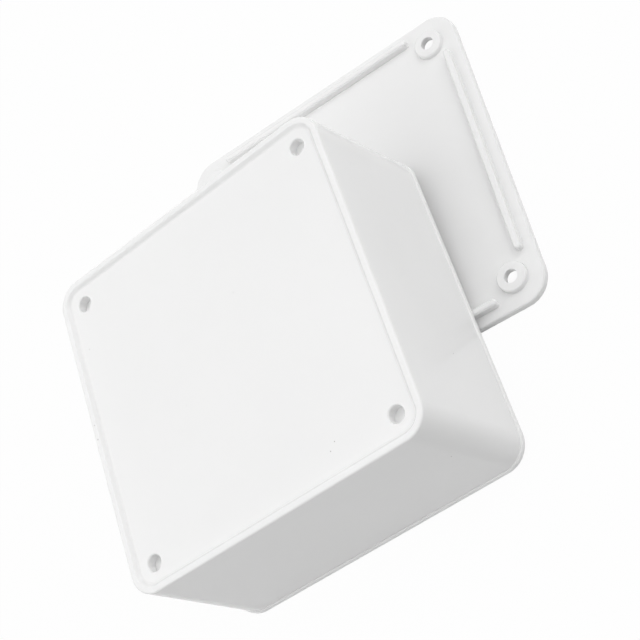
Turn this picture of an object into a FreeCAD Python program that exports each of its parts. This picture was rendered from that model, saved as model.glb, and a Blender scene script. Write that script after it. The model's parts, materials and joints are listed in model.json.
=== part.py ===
import FreeCAD, Part
import math
import os

# Junction box with its lid off. The lid lies flat on the table, inner side up, with its centre at the
# origin. The box lies closed face up, its rim across two ribs of the lid and its far corner on the table.
# All sizes are in millimetres.

# Outline of the lid, which stands out beyond the rim of the box by the overhang
side = 100.0
corner_radius = 8.0
lid_overhang = 0.4

# Box, whose closed face is a panel sunk a little below the border that the walls make round it
box_height = 46.5
wall = 2.1
face_wall = 2.4
draft = 1.1
border_width = 1.7
border_edge_radius = 0.5
panel_recess = 1.0
panel_bevel = 1.0
inner_edge_radius = 1.0
lip_height = 1.9
lip_proud = 0.4
lip_chamfer = 0.3

# Corner pillars of the box, with a blind fixing hole in the closed face and a screw pilot from the rim
hole_inset = 8.9
fixing_inset = 9.7
pillar_width = 9.0
fixing_bore = 4.5
fixing_depth = 3.0
bore_chamfer = 0.25
pilot_fit = 0.15
pilot_spare = 2.0
head_spare = 0.6

# Lid
plate = 2.5
lid_outer_edge_radius = 0.4
lid_chamfer = 0.3
rib_inset = 15.0
rib_width = 2.0
rib_height = 2.5
rib_chamfer = 0.4
rib_fit = 0.3
boss_diameter = 8.8
boss_height = 1.6
boss_draft = 0.2
boss_chamfer = 0.3
lid_hole = 4.0
counterbore_room = 0.55

# Lid screws, self-tapping, 3.5 mm over the thread; the shank here has the diameter of the thread's root
screw_head_diameter = 6.9
screw_head_height = 2.0
screw_head_slope = 1.0
screw_shank_diameter = 2.6
screw_length = 16.0
screw_point = 3.0
recess_span = 3.8
recess_width = 0.9
recess_depth = 1.2

# How the box lies on the lid, seen from above
box_x = -23.75
box_y = -42.38
lid_turn = -2.66
rest_gap = 0.1

# Worked out from the sizes above
hole_spacing = side - 2 * hole_inset
fixing_spacing = side - 2 * fixing_inset
rib_length = side - 2 * rib_inset
pillar_recess = screw_head_height + head_spare
pilot_bore = screw_shank_diameter + 2 * pilot_fit
pilot_depth = screw_length + pilot_spare
counterbore_diameter = screw_head_diameter + 2 * counterbore_room
counterbore_depth = screw_head_height
rim_side = side - 2 * lid_overhang
rim_radius = corner_radius - lid_overhang
wall_side = rim_side - 2 * lip_proud
wall_radius = rim_radius - lip_proud
panel_height = box_height - panel_recess
border_side = wall_side - 2 * draft - 2 * border_width
border_radius = wall_radius - border_width
cavity_side = wall_side - 2 * wall
cavity_radius = wall_radius - wall
cavity_height = panel_height - face_wall
cavity_draft = draft * cavity_height / box_height
rib_outer = cavity_side / 2 - rib_fit
rib_centre = rib_outer - rib_width / 2
up = FreeCAD.Vector(0, 0, 1)
on_plane = 1e-4


def corners(spacing):
    """Plan places of four holes on a square of that spacing."""
    half = spacing / 2
    return [(x, y) for x in (-half, half) for y in (-half, half)]


def rounded_square(size, radius, z):
    """Wire of a square with rounded corners, centred on the Z axis at height z."""
    half = size / 2
    straight = half - radius
    middle = straight + radius * math.cos(math.pi / 4)
    edges = []
    for quarter in range(4):
        line = Part.LineSegment(FreeCAD.Vector(half, -straight, z), FreeCAD.Vector(half, straight, z))
        arc = Part.Arc(
            FreeCAD.Vector(half, straight, z),
            FreeCAD.Vector(middle, middle, z),
            FreeCAD.Vector(straight, half, z),
        )
        for curve in (line, arc):
            edge = curve.toShape()
            edge.rotate(FreeCAD.Vector(), up, 90 * quarter)
            edges.append(edge)
    return Part.Wire(edges)


def drafted_block(size, radius, height, lean_in):
    """Block on a rounded square whose walls lean in by lean_in over its height, with even corners."""
    low = rounded_square(size, radius, 0)
    high = rounded_square(size - 2 * lean_in, radius, height)
    return Part.makeLoft([low, high], True, True)


def edges_at(shape, z):
    """Edges of a shape that lie wholly at height z."""
    found = []
    for edge in shape.Edges:
        box = edge.BoundBox
        if abs(box.ZMin - z) < on_plane and abs(box.ZMax - z) < on_plane:
            found.append(edge)
    return found


def upright_edges(shape, x, y):
    """Edges of a shape that stand upright over the plan point x, y."""
    over = FreeCAD.Vector(x, y, 0)
    found = []
    for edge in shape.Edges:
        if all((end.Point - up * end.Z - over).Length < on_plane for end in edge.Vertexes):
            found.append(edge)
    return found


def pillars():
    """Four corner posts: square in plan, with a round inner corner, and merged with the walls behind them."""
    near = (hole_spacing - pillar_width) / 2
    far = wall_side / 2
    root = panel_height - face_wall / 2
    foot = FreeCAD.Vector(near, near, pillar_recess)
    post = Part.makeBox(far - near, far - near, root - pillar_recess, foot)
    post = post.makeFillet(pillar_width / 2, upright_edges(post, near, near))
    mid_wall = drafted_block(wall_side - wall, wall_radius - wall / 2, box_height, draft)
    post = post.common(mid_wall)
    posts = []
    for quarter in range(4):
        turned = post.copy()
        turned.rotate(FreeCAD.Vector(), up, 90 * quarter)
        posts.append(turned)
    return posts


def pilot(x, y):
    """Pilot hole for a lid screw, up from the rim end of a pillar."""
    return Part.makeCylinder(pilot_bore / 2, pillar_recess + pilot_depth, FreeCAD.Vector(x, y, 0), up)


def fixing_hole(x, y):
    """Blind hole down from the panel of the closed face."""
    return Part.makeCylinder(fixing_bore / 2, fixing_depth, FreeCAD.Vector(x, y, panel_height - fixing_depth), up)


def sunk_panel():
    """Shallow room over the panel of the closed face, which slopes up to the border all round."""
    low = rounded_square(border_side - 2 * panel_bevel, border_radius - panel_bevel, panel_height)
    high = rounded_square(border_side, border_radius, box_height)
    return Part.makeLoft([low, high], True, True)


def box_body():
    """Box in its own frame: rim at height 0, closed face on top."""
    outer = drafted_block(wall_side, wall_radius, box_height, draft).cut(sunk_panel())
    outer = outer.makeFillet(border_edge_radius, edges_at(outer, box_height))
    lip = Part.Face(rounded_square(rim_side, rim_radius, 0)).extrude(up * lip_height)
    lip = lip.makeChamfer(lip_chamfer, edges_at(lip, 0) + edges_at(lip, lip_height))
    cavity = drafted_block(cavity_side, cavity_radius, cavity_height, cavity_draft)
    cavity = cavity.makeFillet(inner_edge_radius, edges_at(cavity, cavity_height))
    shell = outer.fuse(lip).cut(cavity)
    shell = shell.fuse(pillars())
    shell = shell.cut(Part.makeCompound([pilot(x, y) for x, y in corners(hole_spacing)]))
    shell = shell.cut(Part.makeCompound([fixing_hole(x, y) for x, y in corners(fixing_spacing)]))
    shell = shell.removeSplitter()
    mouths = [e for e in edges_at(shell, panel_height) if e.BoundBox.DiagonalLength < 2 * fixing_bore]
    return shell.makeChamfer(bore_chamfer, mouths)


def rib():
    """Straight rib with round ends along the lid's +X side."""
    straight = (rib_length - rib_width) / 2
    near = rib_centre - rib_width / 2
    far = rib_centre + rib_width / 2
    foot = plate / 2
    right = Part.LineSegment(FreeCAD.Vector(far, -straight, foot), FreeCAD.Vector(far, straight, foot))
    top = Part.Arc(
        FreeCAD.Vector(far, straight, foot),
        FreeCAD.Vector(rib_centre, rib_length / 2, foot),
        FreeCAD.Vector(near, straight, foot),
    )
    left = Part.LineSegment(FreeCAD.Vector(near, straight, foot), FreeCAD.Vector(near, -straight, foot))
    bottom = Part.Arc(
        FreeCAD.Vector(near, -straight, foot),
        FreeCAD.Vector(rib_centre, -rib_length / 2, foot),
        FreeCAD.Vector(far, -straight, foot),
    )
    outline = Part.Wire([curve.toShape() for curve in (right, top, left, bottom)])
    crest = plate + rib_height
    bar = Part.Face(outline).extrude(up * (crest - foot))
    return bar.makeChamfer(rib_chamfer, edges_at(bar, crest))


def boss(x, y):
    """Round boss on the lid's inner side."""
    foot = FreeCAD.Vector(x, y, plate / 2)
    top_radius = boss_diameter / 2
    crest = plate + boss_height
    stud = Part.makeCone(top_radius + boss_draft, top_radius, crest - plate / 2, foot, up)
    return stud.makeChamfer(boss_chamfer, edges_at(stud, crest))


def lid_bore(x, y):
    """Screw hole with a counterbore for the screw's head on the outer side."""
    hole = Part.makeCylinder(lid_hole / 2, plate + 2 * boss_height, FreeCAD.Vector(x, y, 0), up)
    head_room = Part.makeCylinder(counterbore_diameter / 2, counterbore_depth, FreeCAD.Vector(x, y, 0), up)
    return hole.fuse(head_room)


def lid():
    """Lid with its outer side on the table."""
    slab = Part.Face(rounded_square(side, corner_radius, 0)).extrude(up * plate)
    slab = slab.makeFillet(lid_outer_edge_radius, edges_at(slab, 0))
    slab = slab.makeChamfer(lid_chamfer, edges_at(slab, plate))
    ribs = []
    for quarter in range(4):
        bar = rib()
        bar.rotate(FreeCAD.Vector(), up, 90 * quarter)
        ribs.append(bar)
    cover = slab.fuse(ribs + [boss(x, y) for x, y in corners(hole_spacing)])
    cover = cover.cut(Part.makeCompound([lid_bore(x, y) for x, y in corners(hole_spacing)]))
    return cover.removeSplitter()


def lid_screw(x, y):
    """Pan-head screw with a cross recess, its head under a pillar's end and its shank up in the pilot."""
    head_radius = screw_head_diameter / 2
    shank_radius = screw_shank_diameter / 2
    crown = FreeCAD.Vector(0, 0, -screw_head_height)
    outline = [
        crown,
        FreeCAD.Vector(head_radius, 0, -screw_head_height),
        FreeCAD.Vector(head_radius, 0, 0),
        FreeCAD.Vector(shank_radius, 0, 0),
        FreeCAD.Vector(shank_radius, 0, screw_length - screw_point),
        FreeCAD.Vector(0, 0, screw_length),
        crown,
    ]
    screw = Part.Face(Part.makePolygon(outline)).revolve(FreeCAD.Vector(), up, 360)
    screw = screw.makeChamfer(screw_head_slope, edges_at(screw, -screw_head_height))
    slot = Part.makeBox(
        recess_span,
        recess_width,
        recess_depth,
        crown - FreeCAD.Vector(recess_span / 2, recess_width / 2, 0),
    )
    cross = slot.copy()
    cross.rotate(FreeCAD.Vector(), up, 90)
    screw = screw.cut(slot.fuse(cross))
    screw.translate(FreeCAD.Vector(x, y, pillar_recess))
    return screw


def lean():
    """Placement that lays the box's rim across two ribs of the lid and its far corner on the table."""
    turn = math.radians(lid_turn)
    rest_height = plate + rib_height + rest_gap
    # The rim first meets a rib where the wall's inner face crosses the rib's outer edge.
    right_x = box_x + cavity_side / 2
    right_y = (math.sin(turn) * right_x - rib_outer) / math.cos(turn)
    back_y = box_y + cavity_side / 2
    back_x = (-math.sin(turn) * back_y - rib_outer) / math.cos(turn)
    on_right = FreeCAD.Vector(right_x, right_y, rest_height)
    on_back = FreeCAD.Vector(back_x, back_y, rest_height)
    axis = (on_back - on_right).normalize()
    downhill = FreeCAD.Vector(-axis.y, axis.x, 0)
    to_arc_centre = rim_side / 2 - rim_radius
    arc_centre = FreeCAD.Vector(box_x - to_arc_centre, box_y - to_arc_centre, rest_height)
    reach = (arc_centre - on_right).dot(downhill) + rim_radius
    tilt = math.degrees(math.asin(rest_height / reach))
    level = FreeCAD.Placement(FreeCAD.Vector(box_x, box_y, rest_height), FreeCAD.Rotation())
    tip = FreeCAD.Placement(FreeCAD.Vector(), FreeCAD.Rotation(axis, -tilt), on_right)
    return tip.multiply(level)


def main():
    os.makedirs("parts", exist_ok=True)
    cover = lid()
    cover.rotate(FreeCAD.Vector(), up, lid_turn)
    body = box_body()
    body.Placement = lean()
    screws = Part.makeCompound([lid_screw(x, y) for x, y in corners(hole_spacing)])
    screws.Placement = lean()
    pieces = {"lid": cover, "box_body": body, "lid_screws": screws}
    for node, shape in pieces.items():
        shape.exportStep("parts/" + node + ".step")
        print(node, "valid", shape.isValid(), "solids", len(shape.Solids), "volume", round(shape.Volume, 1))
    return pieces


if __name__ == "__main__":
    main()
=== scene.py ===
import json
import math

import bpy
from mathutils import Matrix, Vector


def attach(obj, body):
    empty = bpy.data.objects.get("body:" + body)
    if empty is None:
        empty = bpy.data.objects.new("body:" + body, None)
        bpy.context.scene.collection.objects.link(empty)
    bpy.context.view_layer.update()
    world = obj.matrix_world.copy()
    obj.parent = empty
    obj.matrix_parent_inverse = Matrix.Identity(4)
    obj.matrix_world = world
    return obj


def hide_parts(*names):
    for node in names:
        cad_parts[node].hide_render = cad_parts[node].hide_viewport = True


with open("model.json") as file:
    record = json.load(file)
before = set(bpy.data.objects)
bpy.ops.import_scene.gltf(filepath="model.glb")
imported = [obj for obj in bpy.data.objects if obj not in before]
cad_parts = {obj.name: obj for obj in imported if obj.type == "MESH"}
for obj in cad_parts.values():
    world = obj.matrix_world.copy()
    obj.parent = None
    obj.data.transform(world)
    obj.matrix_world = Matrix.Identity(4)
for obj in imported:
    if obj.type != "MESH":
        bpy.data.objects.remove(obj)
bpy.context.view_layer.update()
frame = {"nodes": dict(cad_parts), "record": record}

# Junction box with its lid off, in metres. The box leans on the lid, which lies on the floor.

# View of the photograph: a square picture, so the lens is given for the 36 mm sensor width
camera_lens = 81.917
camera_sensor = 36.0
camera_near = 0.01
camera_eye = Vector((0.14764, -0.23244, 0.32877))
camera_target = Vector((-0.02127, -0.01946, 0.0))
camera_roll = math.radians(64.107)

# Light: lamps by azimuth and elevation in degrees, seen from the object, and power in watts
lamp_aim = Vector((-0.02, -0.03, 0.02))
lamp_distance = 1.0
lamp_size = 1.3
lamps = {
    "right_low": (0, 20, 2.3),
    "right": (0, 50, 3.6),
    "back_right_low": (45, 20, 2.9),
    "back_right": (45, 50, 1.9),
    "back_left_low": (135, 20, 1.8),
    "left": (180, 50, 3.4),
    "front_left_low": (225, 20, 1.3),
    "front_left": (225, 50, 2.9),
    "front_right": (315, 50, 0.7),
    "top": (0, 90, 1.6),
}

# Lamps that light the surfaces and don't show in their gloss, which would burn out to white
lamps_without_gloss = ("right_low", "right", "back_right_low")

# Background and floor
white = (1, 1, 1, 1)
floor_size = 6.0
floor_drop = 0.0001
floor_colour = (0.75, 0.75, 0.75, 1)
floor_glow = 0.97

# Box frame, from the mount in the sunk panel: the way the closed face looks, and the middle of the rim
panel_height = 0.0455
panel_mount = next(mount for mount in frame["record"]["mounts"] if mount["name"] == "fixing_holes")
box_up = Vector(panel_mount["axis"])
rim_middle = Vector(panel_mount["pos_m"]) - box_up * panel_height

# Noise of all materials: its roughness, and the range of its values that is spread out
noise_roughness = 0.55
noise_range = (0.15, 0.85)

# Sockets of the node that mixes colours, by number, because other sockets have the same names
mix_share = 0
mix_first = 6
mix_second = 7
mix_result = 2

# White plastic: colours, gloss, how light goes in, and the noise of its clouds, waves and grain
plastic_dark = (0.893, 0.893, 0.891, 1)
plastic_light = (0.911, 0.911, 0.909, 1)
plastic_rough = (0.20, 0.25)
plastic_specular = 0.5
plastic_soft_weight = 0.5
plastic_soft_reach = 0.0008
plastic_soft_colours = (1.0, 1.0, 1.0)
cloud_scale = 22.0
cloud_detail = 3.0
wave_scale = 45.0
wave_detail = 1.0
wave_height = 0.00003
grain_scale = 1400.0
grain_detail = 2.0
grain_height = 0.000004
box_shift = (0.0, 0.0, 0.0)
lid_shift = (0.3, 0.2, 0.1)

# Specks of dirt on the box: colour, share of the radius that is fully covered, and places with radii
speck_colour = (0.50, 0.49, 0.48, 1)
speck_core = 0.5
box_specks = [
    ((-0.0172, -0.0301, 0.0501), 0.00016),
    ((-0.0680, -0.0179, 0.0489), 0.00018),
    ((-0.0723, -0.0403, 0.0488), 0.00020),
    ((-0.0724, -0.0447, 0.0486), 0.00024),
    ((-0.0031, -0.0823, 0.0482), 0.00021),
    ((-0.0050, -0.0840, 0.0481), 0.00021),
    ((0.0161, -0.0921, 0.0293), 0.00020),
    ((-0.0417, -0.0507, 0.0483), 0.00014),
    ((0.0243, -0.0655, 0.0247), 0.00018),
]

# Zinc-plated steel: colours, gloss, and the noise of its mottle and rubbed patches
steel_dark = (0.62, 0.63, 0.64, 1)
steel_light = (0.78, 0.78, 0.76, 1)
steel_rough = (0.25, 0.45)
mottle_scale = 900.0
mottle_detail = 4.0
mottle_height = 0.00001
rub_scale = 350.0
rub_detail = 2.0

# Lid screws: their places on the box, and the pan head
screw_spacing = 0.0822
screw_seat = 0.0026
head_radius = 0.00345
head_height = 0.0020
head_side = 0.0008
head_undercut = 0.00015

# Cross recess: half its span and half its width, at its top and floor, and its turn off the mesh's lines
recess_top = (0.0019, 0.00045)
recess_floor = (0.0009, 0.00022)
recess_depth = 0.0012
recess_turn = math.radians(20)
recess_proud = 0.0002

# Shank with a thread: radii, pitch, and the share of the pitch that the ridge takes up
thread_root = 0.0013
thread_tip = 0.0014
thread_pitch = 0.0013
ridge_share = 0.5
shank_length = 0.0160
point_length = 0.0030

# Steps of the screw's mesh, and the angle from which its edges look sharp
round_steps = 32
head_steps = 8
rows_per_turn = 8
sharp_angle = math.radians(35)


def add_object(name, data):
    """New object in the scene."""
    made = bpy.data.objects.new(name, data)
    bpy.context.scene.collection.objects.link(made)
    return made


def add_node(tree, kind, inputs=None, **settings):
    """New shader node. Each input is a number, a colour or the output of another node."""
    node = tree.nodes.new(kind)
    for name, value in settings.items():
        setattr(node, name, value)
    for name, value in (inputs or {}).items():
        if isinstance(value, bpy.types.NodeSocket):
            tree.links.new(value, node.inputs[name])
        else:
            node.inputs[name].default_value = value
    return node


def new_material(name):
    """Material with an empty node tree, and that tree."""
    material = bpy.data.materials.new(name)
    material.use_nodes = True
    material.node_tree.nodes.clear()
    return material, material.node_tree


def add_camera():
    """Camera at the photograph's viewing angle."""
    ahead = (camera_target - camera_eye).normalized()
    level = ahead.cross(Vector((0, 0, 1))).normalized()
    right = Matrix.Rotation(camera_roll, 3, ahead) @ level
    up = right.cross(ahead)
    data = bpy.data.cameras.new("camera")
    data.sensor_width = camera_sensor
    data.lens = camera_lens
    data.clip_start = camera_near
    camera = add_object("camera", data)
    turn = Matrix((right, up, -ahead)).transposed().to_4x4()
    camera.matrix_world = Matrix.Translation(camera_eye) @ turn
    bpy.context.scene.camera = camera


def seen_by_eye(tree):
    """Output that is 1 for rays that show the background: camera, glossy and transmission rays."""
    path = add_node(tree, "ShaderNodeLightPath")
    total = path.outputs["Is Camera Ray"]
    for name in ("Is Glossy Ray", "Is Transmission Ray"):
        both = add_node(tree, "ShaderNodeMath", {0: total, 1: path.outputs[name]}, operation="MAXIMUM")
        total = both.outputs[0]
    return total


def add_world():
    """White background that shows directly and in gloss, and otherwise gives no light."""
    world = bpy.data.worlds.new("world")
    world.use_nodes = True
    bpy.context.scene.world = world
    tree = world.node_tree
    tree.nodes.clear()
    shown = add_node(tree, "ShaderNodeBackground", {"Color": white, "Strength": seen_by_eye(tree)})
    add_node(tree, "ShaderNodeOutputWorld", {"Surface": shown.outputs[0]})


def add_floor():
    """Pale floor that looks white and keeps a faint shadow of the object."""
    half = floor_size / 2
    corners = [(x * half, y * half, -floor_drop) for x, y in ((-1, -1), (1, -1), (1, 1), (-1, 1))]
    mesh = bpy.data.meshes.new("floor")
    mesh.from_pydata(corners, [], [(0, 1, 2, 3)])
    add_object("floor", mesh)
    material, tree = new_material("floor")
    matt = add_node(tree, "ShaderNodeBsdfDiffuse", {"Color": floor_colour})
    glow = add_node(tree, "ShaderNodeEmission", {"Color": white})
    inputs = {0: seen_by_eye(tree), 1: floor_glow}
    share = add_node(tree, "ShaderNodeMath", inputs, operation="MULTIPLY")
    inputs = {0: share.outputs[0], 1: matt.outputs[0], 2: glow.outputs[0]}
    mix = add_node(tree, "ShaderNodeMixShader", inputs)
    add_node(tree, "ShaderNodeOutputMaterial", {"Surface": mix.outputs[0]})
    mesh.materials.append(material)


def add_lamp(name, azimuth, elevation, power):
    """Square soft lamp that points at the object."""
    around = math.radians(azimuth)
    above = math.radians(elevation)
    level = math.cos(above)
    way = Vector((math.cos(around) * level, math.sin(around) * level, math.sin(above)))
    place = lamp_aim + way * lamp_distance
    data = bpy.data.lights.new(name, "AREA")
    data.size = lamp_size
    data.energy = power
    lamp = add_object(name, data)
    lamp.location = place
    lamp.rotation_euler = (lamp_aim - place).to_track_quat("-Z", "Y").to_euler()
    lamp.visible_glossy = name not in lamps_without_gloss


def noise(tree, place, scale, detail):
    """Noise over the object's own coordinates, from 0 to 1."""
    inputs = {"Vector": place, "Scale": scale, "Detail": detail, "Roughness": noise_roughness}
    return add_node(tree, "ShaderNodeTexNoise", inputs).outputs["Fac"]


def spread(tree, value, low, high):
    """Maps a noise's range onto low to high, with soft ends."""
    least, most = noise_range
    inputs = {"Value": value, "From Min": least, "From Max": most, "To Min": low, "To Max": high}
    return add_node(tree, "ShaderNodeMapRange", inputs, interpolation_type="SMOOTHSTEP").outputs["Result"]


def blend(tree, share, first, second):
    """Colour between first and second."""
    inputs = {mix_share: share, mix_first: first, mix_second: second}
    return add_node(tree, "ShaderNodeMix", inputs, data_type="RGBA").outputs[mix_result]


def relief(tree, height, distance, below=None):
    """Normal of a relief as high as height times distance, on top of the relief below if there is one."""
    inputs = {"Height": height, "Distance": distance, "Strength": 1.0}
    if below is not None:
        inputs["Normal"] = below
    return add_node(tree, "ShaderNodeBump", inputs).outputs["Normal"]


def add_surface(tree, inputs):
    """Principled shader with these inputs, as the material's surface."""
    shader = add_node(tree, "ShaderNodeBsdfPrincipled", inputs)
    add_node(tree, "ShaderNodeOutputMaterial", {"Surface": shader.outputs[0]})


def speck_cover(tree, place, centre, radius):
    """Output that is 1 on a speck of dirt and 0 elsewhere."""
    inputs = {0: place, 1: centre}
    gap = add_node(tree, "ShaderNodeVectorMath", inputs, operation="DISTANCE").outputs["Value"]
    core = radius * speck_core
    inputs = {"Value": gap, "From Min": core, "From Max": radius, "To Min": 1.0, "To Max": 0.0}
    return add_node(tree, "ShaderNodeMapRange", inputs).outputs["Result"]


def white_plastic(name, shift, specks=()):
    """Moulded white plastic: faint clouds and waves, fine grain, a soft gloss, and any specks."""
    material, tree = new_material(name)
    place = add_node(tree, "ShaderNodeTexCoord").outputs["Object"]
    moved = add_node(tree, "ShaderNodeMapping", {"Vector": place, "Location": shift}).outputs["Vector"]
    clouds = noise(tree, moved, cloud_scale, cloud_detail)
    waves = noise(tree, moved, wave_scale, wave_detail)
    grain = noise(tree, moved, grain_scale, grain_detail)
    colour = blend(tree, spread(tree, clouds, 0.0, 1.0), plastic_dark, plastic_light)
    for centre, radius in specks:
        colour = blend(tree, speck_cover(tree, place, centre, radius), colour, speck_colour)
    add_surface(tree, {
        "Base Color": colour,
        "Roughness": spread(tree, waves, *plastic_rough),
        "Specular IOR Level": plastic_specular,
        "Subsurface Weight": plastic_soft_weight,
        "Subsurface Radius": plastic_soft_colours,
        "Subsurface Scale": plastic_soft_reach,
        "Normal": relief(tree, grain, grain_height, relief(tree, waves, wave_height)),
    })
    return material


def zinc_steel():
    """Zinc-plated steel: bright, with a fine mottle and rubbed patches."""
    material, tree = new_material("screw_steel")
    place = add_node(tree, "ShaderNodeTexCoord").outputs["Object"]
    mottle = noise(tree, place, mottle_scale, mottle_detail)
    rubbed = noise(tree, place, rub_scale, rub_detail)
    add_surface(tree, {
        "Base Color": blend(tree, spread(tree, mottle, 0.0, 1.0), steel_dark, steel_light),
        "Metallic": 1.0,
        "Roughness": spread(tree, rubbed, *steel_rough),
        "Normal": relief(tree, mottle, mottle_height),
    })
    return material


def dress(node, material):
    """Gives a node of the part its material."""
    mesh = frame["nodes"][node].data
    mesh.materials.clear()
    mesh.materials.append(material)


def on_circle(radius, share, z):
    """Point on a circle round the Z axis, at a share of a full turn."""
    turn = 2 * math.pi * share
    return Vector((radius * math.cos(turn), radius * math.sin(turn), z))


def ring(radius, z):
    """Points of a circle round the Z axis."""
    return [on_circle(radius, step / round_steps, z) for step in range(round_steps)]


def head_rings():
    """Rings of a pan head, from its crown to its underside, which is at height 0."""
    rings = []
    for step in range(1, head_steps + 1):
        turn = math.pi / 2 * step / head_steps
        drop = (head_height - head_side) * (1 - math.cos(turn))
        rings.append(ring(head_radius * math.sin(turn), drop - head_height))
    rings.append(ring(head_radius, -head_undercut))
    rings.append(ring(head_radius - head_undercut, 0.0))
    return rings


def shank_rings():
    """Rings of the threaded shank, whose ridge climbs one pitch a turn and fades into the point."""
    rings = []
    rows = int(shank_length / thread_pitch * rows_per_turn)
    for row in range(rows):
        z = shank_length * row / rows
        taper = min(1.0, (shank_length - z) / point_length)
        points = []
        for step in range(round_steps):
            share = step / round_steps
            phase = (z / thread_pitch - share) % 1.0
            ridge = max(0.0, 1.0 - abs(phase - 0.5) * 2 / ridge_share)
            radius = (thread_root + (thread_tip - thread_root) * ridge) * taper
            points.append(on_circle(radius, share, z))
        rings.append(points)
    return rings


def closed_mesh(name, rings, first, last):
    """Mesh of stacked rings, closed by a first and a last point."""
    count = len(rings[0])
    points = [first] + [point for one in rings for point in one] + [last]
    end = 1 + (len(rings) - 1) * count
    faces = []
    for step in range(count):
        after = (step + 1) % count
        faces.append((0, 1 + after, 1 + step))
        faces.append((len(points) - 1, end + step, end + after))
        for row in range(len(rings) - 1):
            low = 1 + row * count
            high = low + count
            faces.append((low + step, low + after, high + after, high + step))
    mesh = bpy.data.meshes.new(name)
    mesh.from_pydata(points, [], faces)
    return mesh


def cross_outline(span, width, z):
    """Twelve corners of a cross, anticlockwise, from half its span and half its width."""
    arm = [(span, -width), (span, width), (width, width)]
    corners = []
    for quarter in range(4):
        turn = Matrix.Rotation(recess_turn + math.pi / 2 * quarter, 2)
        corners += [turn @ Vector(corner) for corner in arm]
    return [Vector((corner.x, corner.y, z)) for corner in corners]


def screw_mesh():
    """One screw with its cross recess cut, its axis on Z and the underside of its head at height 0."""
    crown = Vector((0, 0, -head_height))
    tip = Vector((0, 0, shank_length))
    screw = add_object("screw", closed_mesh("screw", head_rings() + shank_rings(), crown, tip))
    top = Vector((0, 0, -head_height - recess_proud))
    bottom = Vector((0, 0, recess_depth - head_height))
    outlines = [cross_outline(*recess_top, top.z), cross_outline(*recess_floor, bottom.z)]
    cutter = add_object("recess", closed_mesh("recess", outlines, top, bottom))
    cut = screw.modifiers.new("recess", "BOOLEAN")
    cut.operation = "DIFFERENCE"
    cut.object = cutter
    cut.solver = "EXACT"
    seen = bpy.context.evaluated_depsgraph_get()
    mesh = bpy.data.meshes.new_from_object(screw.evaluated_get(seen))
    for piece in (screw, cutter):
        bpy.data.objects.remove(piece)
    return mesh


def add_screws(material):
    """Four detailed lid screws in place of the plain ones."""
    single = screw_mesh()
    turn = Vector((0, 0, 1)).rotation_difference(box_up).to_matrix().to_4x4()
    half = screw_spacing / 2
    points = []
    faces = []
    for x, y in ((-half, -half), (half, -half), (half, half), (-half, half)):
        place = Matrix.Translation(rim_middle) @ turn @ Matrix.Translation((x, y, screw_seat))
        start = len(points)
        points += [place @ vertex.co for vertex in single.vertices]
        faces += [[start + index for index in face.vertices] for face in single.polygons]
    mesh = bpy.data.meshes.new("lid_screws_detailed")
    mesh.from_pydata(points, [], faces)
    mesh.materials.append(material)
    mesh.shade_smooth()
    mesh.set_sharp_from_angle(angle=sharp_angle)
    screws = add_object("lid_screws_detailed", mesh)
    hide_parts("lid_screws")
    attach(screws, "root")


dress("box_body", white_plastic("box_plastic", box_shift, box_specks))
dress("lid", white_plastic("lid_plastic", lid_shift))
add_screws(zinc_steel())
add_camera()
add_world()
add_floor()
for lamp_name, (lamp_azimuth, lamp_elevation, lamp_power) in lamps.items():
    add_lamp(lamp_name, lamp_azimuth, lamp_elevation, lamp_power)
bpy.context.scene.view_settings.view_transform = "Standard"
